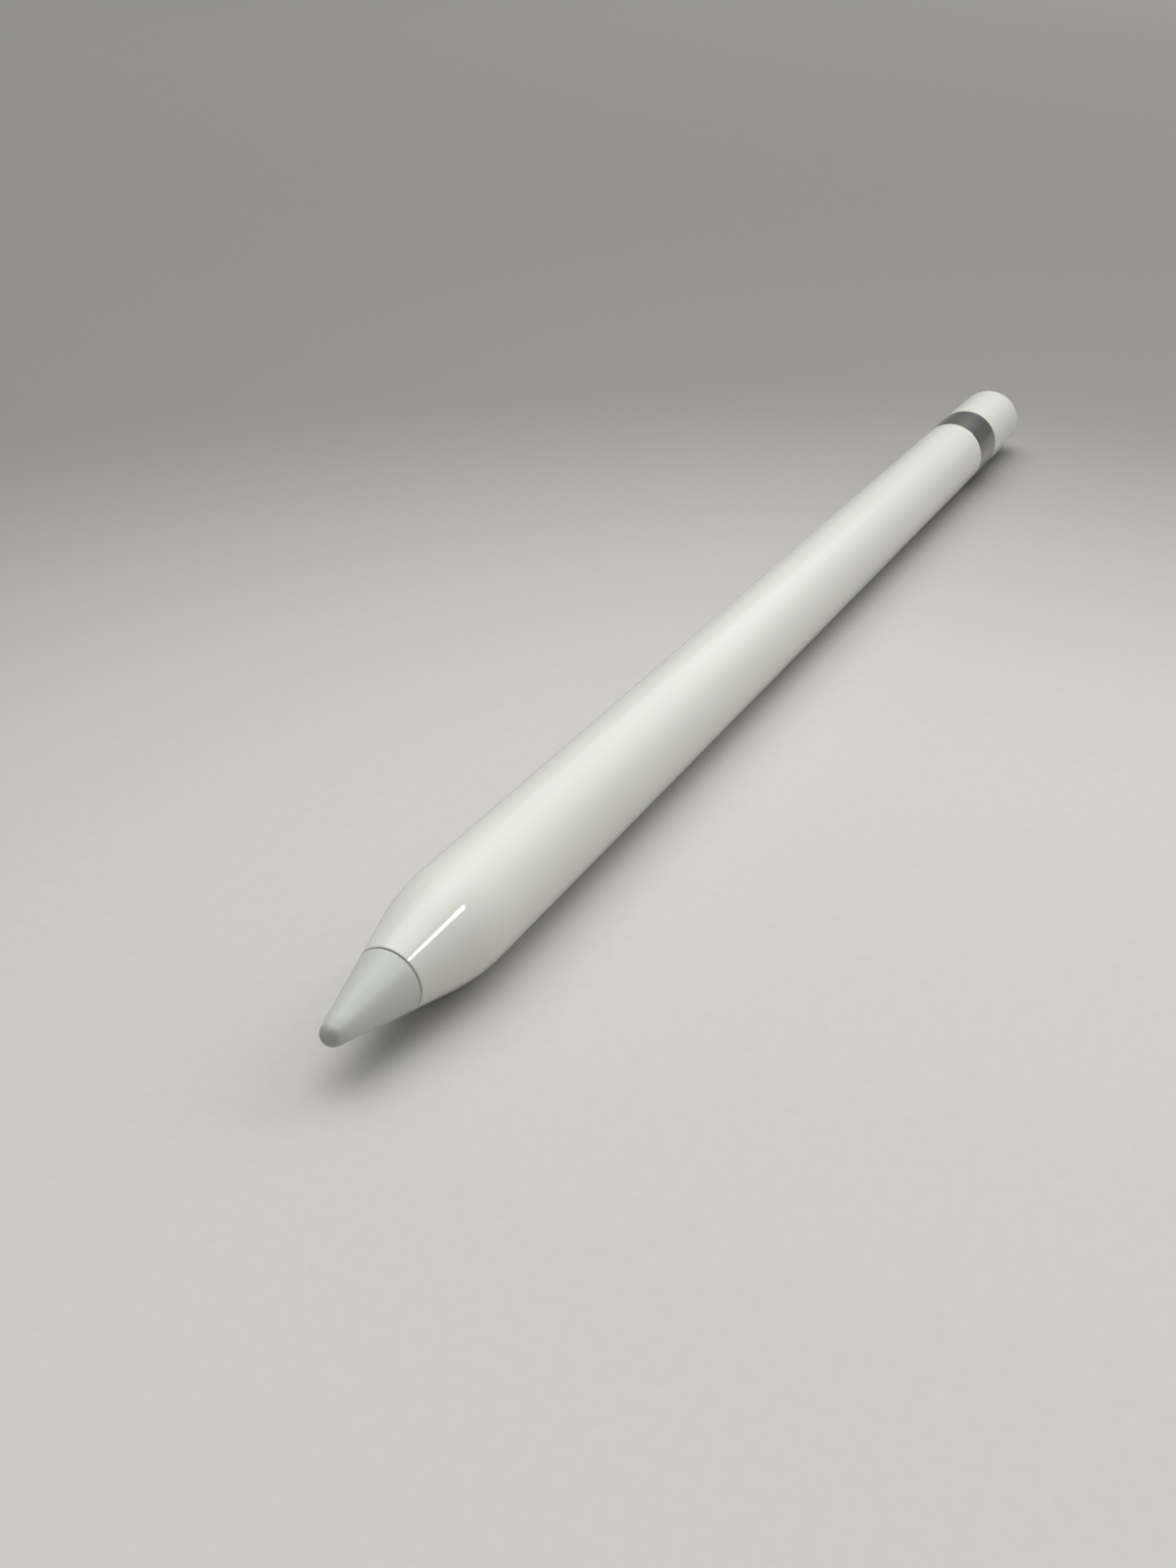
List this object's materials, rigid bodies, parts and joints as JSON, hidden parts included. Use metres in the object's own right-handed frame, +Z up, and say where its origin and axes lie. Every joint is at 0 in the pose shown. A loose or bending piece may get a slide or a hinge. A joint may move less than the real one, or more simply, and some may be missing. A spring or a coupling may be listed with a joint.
{
  "type": "stylus",
  "caption": "Round tablet stylus with a tapered screw-on nib, a force-sensing front end, a metal trim ring and a domed magnetic cap over a flat charging plug.",
  "frame": {"origin": "on the resting plane, below the middle of the pen's length", "axes": "+X along the pen from the nib to the cap, +Z up"},
  "size_m": [0.1756, 0.0088, 0.0089],
  "materials": {
    "white_gloss": "smooth glossy white",
    "nib_white": "satin white",
    "ring_metal": "polished, reflecting",
    "steel": "satin",
    "nickel": "plated",
    "gold": "plated",
    "copper_foil": "foil",
    "weight_iron": "sintered",
    "seal_rubber": "matt",
    "inner_plastic": "moulded",
    "sensor_plastic": "moulded",
    "board_laminate": "solder mask",
    "flex_film": "film",
    "chip_black": "moulded",
    "cell_foil": "laminated foil",
    "pad_foam": "foam"
  },
  "bodies": {
    "barrel": {"barrel": "white_gloss", "trim_ring": "ring_metal", "flexure_plates": "steel", "plate_spacers": "steel", "sensor_clamp": "steel", "chassis_tube": "steel", "shield_can": "steel", "plug_shell": "steel", "keeper_plates": "steel", "battery_tabs": "nickel", "plug_contacts": "gold", "tilt_emitter": "copper_foil", "antenna": "copper_foil", "balance_weight": "weight_iron", "post_seal": "seal_rubber", "plug_carrier": "inner_plastic", "antenna_core": "inner_plastic", "sensor_housing": "sensor_plastic", "plug_core": "sensor_plastic", "main_board": "board_laminate", "second_board": "board_laminate", "front_flex": "flex_film", "fold_flex": "flex_film", "plug_flex": "flex_film", "strain_gauges": "flex_film", "board_chips": "chip_black", "battery_cell": "cell_foil", "battery_pads": "pad_foam"},
    "plunger": {"sensor_post": "steel", "post_sleeve": "inner_plastic", "drive_pin": "gold"},
    "nib_thread": {"nib_insert": "steel"},
    "nib": {"nib": "nib_white", "tip_electrode": "gold"},
    "cap": {"cap_shell": "white_gloss", "cap_liner": "inner_plastic", "cap_magnets": "nickel"}
  },
  "joints": [
    {"name": "nib_press", "type": "slide", "parent": "barrel", "child": "plunger", "axis": [1, 0, 0], "range_m": [0, 0.0001], "stiffness_N_per_m": 30000},
    {"name": "nib_unscrew", "type": "slide", "parent": "plunger", "child": "nib_thread", "axis": [-1, 0, 0], "range_m": [0, 0.0028]},
    {"name": "nib_turn", "type": "hinge", "parent": "nib_thread", "child": "nib", "pos_m": [-0.08785, 0, 0.00445], "axis": [-1, 0, 0], "range_deg": [0, 2520]},
    {"name": "cap_pull", "type": "slide", "parent": "barrel", "child": "cap", "axis": [1, 0, 0], "range_m": [0, 0.016]}
  ],
  "couplings": [
    {"joint": "nib_turn", "follows": "nib_unscrew", "rad_per_m": 15708}
  ]
}
